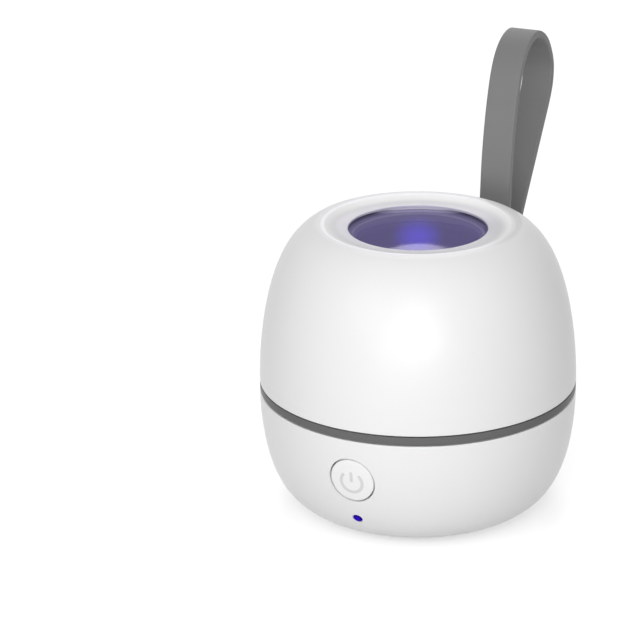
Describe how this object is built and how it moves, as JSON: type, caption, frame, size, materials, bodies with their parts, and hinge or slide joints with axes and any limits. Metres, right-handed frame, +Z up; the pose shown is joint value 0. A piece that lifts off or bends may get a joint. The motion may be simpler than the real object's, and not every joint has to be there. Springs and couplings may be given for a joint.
{
  "type": "pacifier sterilizer case",
  "caption": "Round pocket case with a domed hinged lid, a violet window, a lamp under a dark chamber, a front power button, a charging port and a rear silicone carrying loop.",
  "frame": {"origin": "centre of the foot pad's underside, on the table", "axes": "+Z up through the lid's window, the power button faces -Y, the hinge and the carrying loop are at +Y"},
  "size_m": [0.07, 0.1055, 0.0935],
  "materials": {
    "base_shell": "satin gloss white",
    "collar_ring": "satin dark grey",
    "chamber_bowl": "satin dark violet",
    "lamp_lens": "clear polished",
    "lens_seal": "matte black",
    "lamp_board": "white coated",
    "uv_led": "ceramic with a clear top",
    "lamp_connector": "moulded cream",
    "main_board": "green coated board",
    "control_chip": "moulded black",
    "charge_chip": "moulded black",
    "battery_cell": "foil pouch",
    "battery_lead_red": "insulated wire",
    "battery_lead_black": "insulated wire",
    "charging_socket": "plated steel",
    "switch_board": "green coated board",
    "switch_body": "tinned steel",
    "indicator_led": "moulded white",
    "indicator_lens": "clear tinted blue violet",
    "lid_sensor": "moulded black",
    "latch_magnet": "plated",
    "hinge_pin": "ground steel",
    "case_screw": "plated steel",
    "foot_pad": "matte grey",
    "lid_shell": "satin gloss white",
    "lid_window": "clear tinted violet",
    "window_ring": "satin dark",
    "lid_liner": "metallised satin silver",
    "lid_magnet": "plated",
    "carry_strap": "matte grey silicone",
    "power_button": "satin white",
    "switch_plunger": "moulded black"
  },
  "bodies": {
    "base": {"base_shell": "base_shell", "collar_ring": "collar_ring", "chamber_bowl": "chamber_bowl", "lamp_lens": "lamp_lens", "lens_seal": "lens_seal", "lamp_board": "lamp_board", "uv_led_1": "uv_led", "uv_led_2": "uv_led", "uv_led_3": "uv_led", "uv_led_4": "uv_led", "lamp_connector": "lamp_connector", "main_board": "main_board", "control_chip": "control_chip", "charge_chip": "charge_chip", "battery_cell": "battery_cell", "battery_lead_red": "battery_lead_red", "battery_lead_black": "battery_lead_black", "charging_socket": "charging_socket", "switch_board": "switch_board", "switch_body": "switch_body", "indicator_led": "indicator_led", "indicator_lens": "indicator_lens", "lid_sensor": "lid_sensor", "latch_magnet": "latch_magnet", "hinge_pin": "hinge_pin", "case_screw_1": "case_screw", "case_screw_2": "case_screw", "case_screw_3": "case_screw", "foot_pad": "foot_pad"},
    "lid": {"lid_shell": "lid_shell", "lid_window": "lid_window", "window_ring": "window_ring", "lid_liner": "lid_liner", "lid_magnet": "lid_magnet"},
    "strap": {"carry_strap": "carry_strap"},
    "button": {"power_button": "power_button", "switch_plunger": "switch_plunger"}
  },
  "joints": [
    {"name": "lid_hinge", "type": "hinge", "parent": "base", "child": "lid", "pos_m": [0, 0.0372, 0.0295], "axis": [-1, 0, 0], "range_deg": [0, 90]},
    {"name": "strap_swing", "type": "hinge", "parent": "base", "child": "strap", "pos_m": [0, 0.0372, 0.0295], "axis": [-1, 0, 0], "range_deg": [0, 72]},
    {"name": "button_press", "type": "slide", "parent": "base", "child": "button", "axis": [0, 0.9893, 0.1458], "range_m": [0, 0.0004], "stiffness_N_per_m": 2000}
  ],
  "couplings": [
    {"joint": "strap_swing", "follows": "lid_hinge", "ratio": 0.8}
  ]
}
